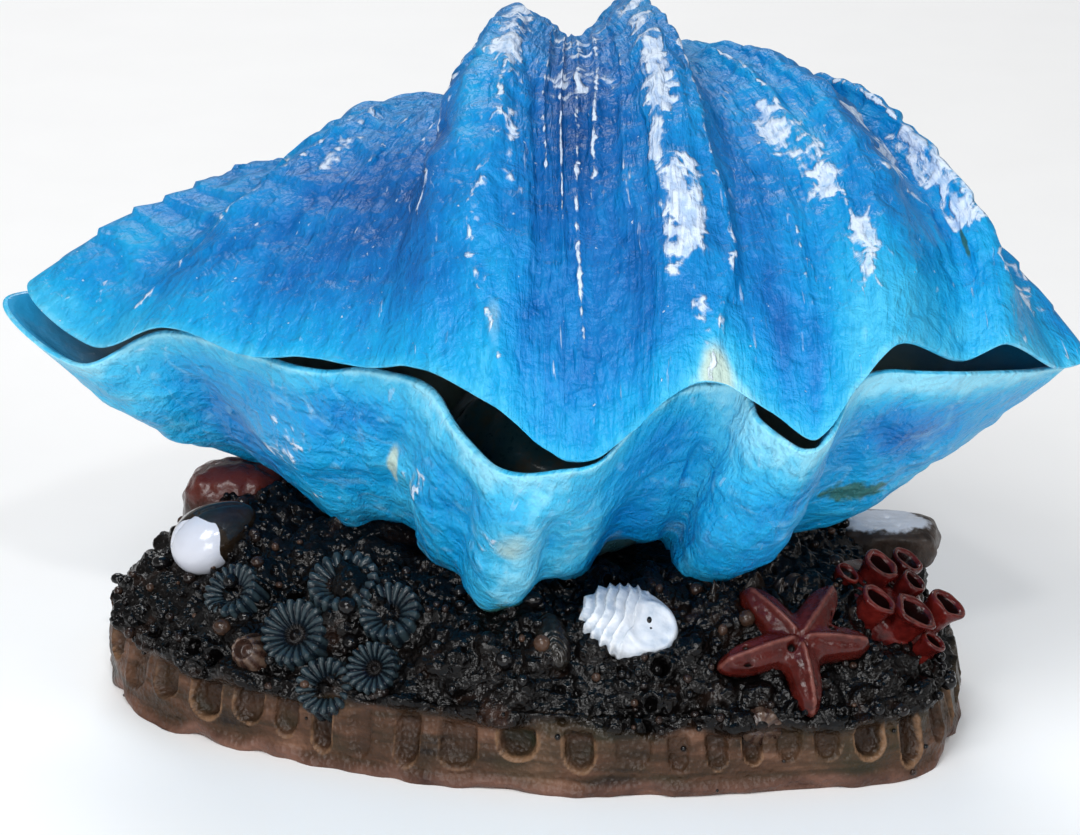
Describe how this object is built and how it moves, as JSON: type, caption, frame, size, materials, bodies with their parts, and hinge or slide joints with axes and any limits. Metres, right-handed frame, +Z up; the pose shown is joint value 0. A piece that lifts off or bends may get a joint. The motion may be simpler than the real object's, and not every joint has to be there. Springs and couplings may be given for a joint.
{
  "type": "aquarium air bubbler ornament",
  "caption": "Giant clam ornament on a coral-covered rock; air from a hose fills a cup under the hinged upper shell, which lifts and lets the bubbles out.",
  "frame": {"origin": "centre of the footprint of the whole object, at the height of the flat underside of the rock", "axes": "+Z up; -Y is the front, where the clam's mouth opens; +X is the viewer's right, along the clam's length from tip to tip"},
  "size_m": [0.1222, 0.081, 0.078],
  "materials": {
    "upper_shell_paint": "satin paint over cast resin",
    "lower_shell_paint": "satin paint over cast resin",
    "rock_paint": "glossy dark paint over cast resin",
    "clam_flesh_paint": "glossy",
    "hinge_plastic": "satin",
    "pin_steel": "brushed",
    "tube_plastic": "smooth",
    "nozzle_plastic": "matt",
    "cup_plastic": "satin",
    "red_paint": "glossy paint over cast resin",
    "white_paint": "satin paint over cast resin",
    "cowrie_paint": "glossy paint over cast resin",
    "coral_paint": "glossy paint over cast resin",
    "barnacle_paint": "glossy paint over cast resin"
  },
  "bodies": {
    "base": {"lower_valve": "lower_shell_paint", "rock_base": "rock_paint", "clam_body": "clam_flesh_paint", "hinge_bracket": "hinge_plastic", "hinge_pin": "pin_steel", "pin_cap": "hinge_plastic", "air_riser": "tube_plastic", "air_inlet_barb": "tube_plastic", "air_nozzle": "nozzle_plastic", "starfish": "red_paint", "tube_coral": "red_paint", "red_stone": "red_paint", "flat_stone": "white_paint", "white_scallop": "white_paint", "cowrie_shell": "cowrie_paint", "dark_mussel": "cowrie_paint", "leaf_coral": "cowrie_paint", "front_barnacle": "barnacle_paint", "left_barnacle": "barnacle_paint", "star_coral_1": "coral_paint", "star_coral_2": "coral_paint", "star_coral_3": "coral_paint", "star_coral_4": "coral_paint", "star_coral_5": "coral_paint", "star_coral_6": "coral_paint"},
    "lid": {"upper_valve": "upper_shell_paint", "air_cup": "cup_plastic", "lid_leaf": "hinge_plastic"}
  },
  "joints": [
    {"name": "lid_hinge", "type": "hinge", "parent": "base", "child": "lid", "pos_m": [-0.00433, 0.03368, 0.045], "axis": [-1, 0, 0], "range_deg": [0, 24]}
  ]
}
